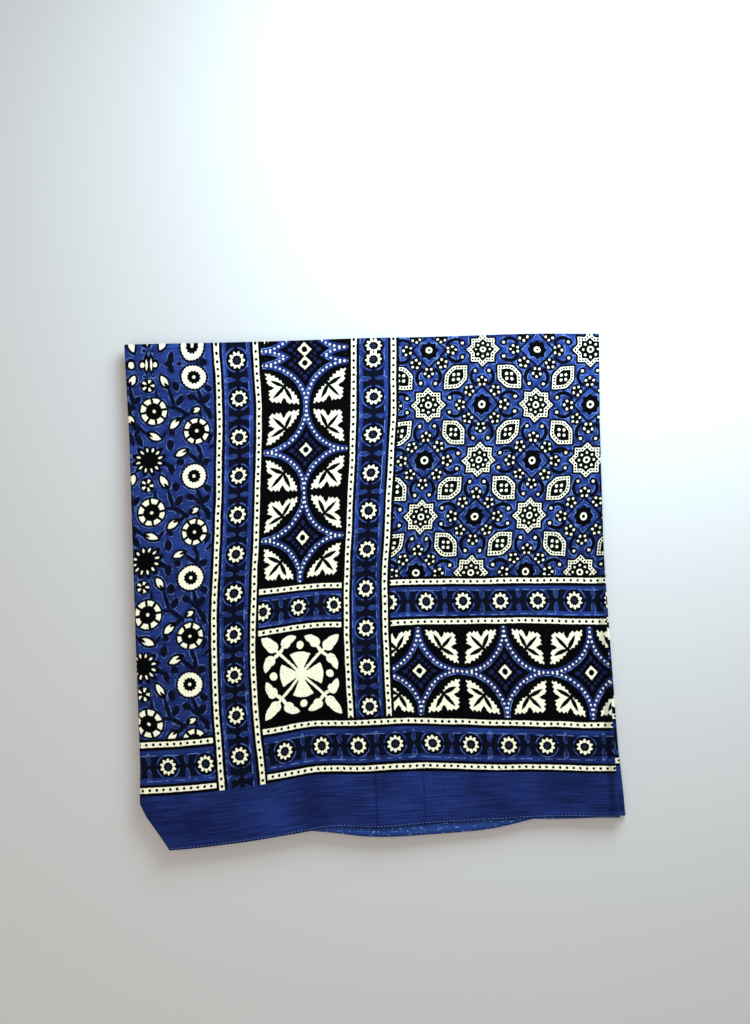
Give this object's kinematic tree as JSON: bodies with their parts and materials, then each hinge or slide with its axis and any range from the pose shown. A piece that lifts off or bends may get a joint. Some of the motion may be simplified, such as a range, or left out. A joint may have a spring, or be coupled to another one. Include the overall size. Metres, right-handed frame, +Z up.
{
  "type": "folded ajrakh cloth",
  "caption": "Long block-printed cotton cloth, doubled over its width and laid back and forth in a flat square stack.",
  "frame": {"origin": "centre of the folded cloth's box, on the surface it lies on", "axes": "+Z up, +Y from the hems towards the long far fold, +X to the right when seen from the hems"},
  "size_m": [0.4798, 0.4978, 0.0151],
  "materials": {
    "printed_cotton": "matt plain-weave cotton, indigo ground with black and white block print on one side"
  },
  "bodies": {
    "root": {"cloth": "printed_cotton"}
  },
  "joints": []
}
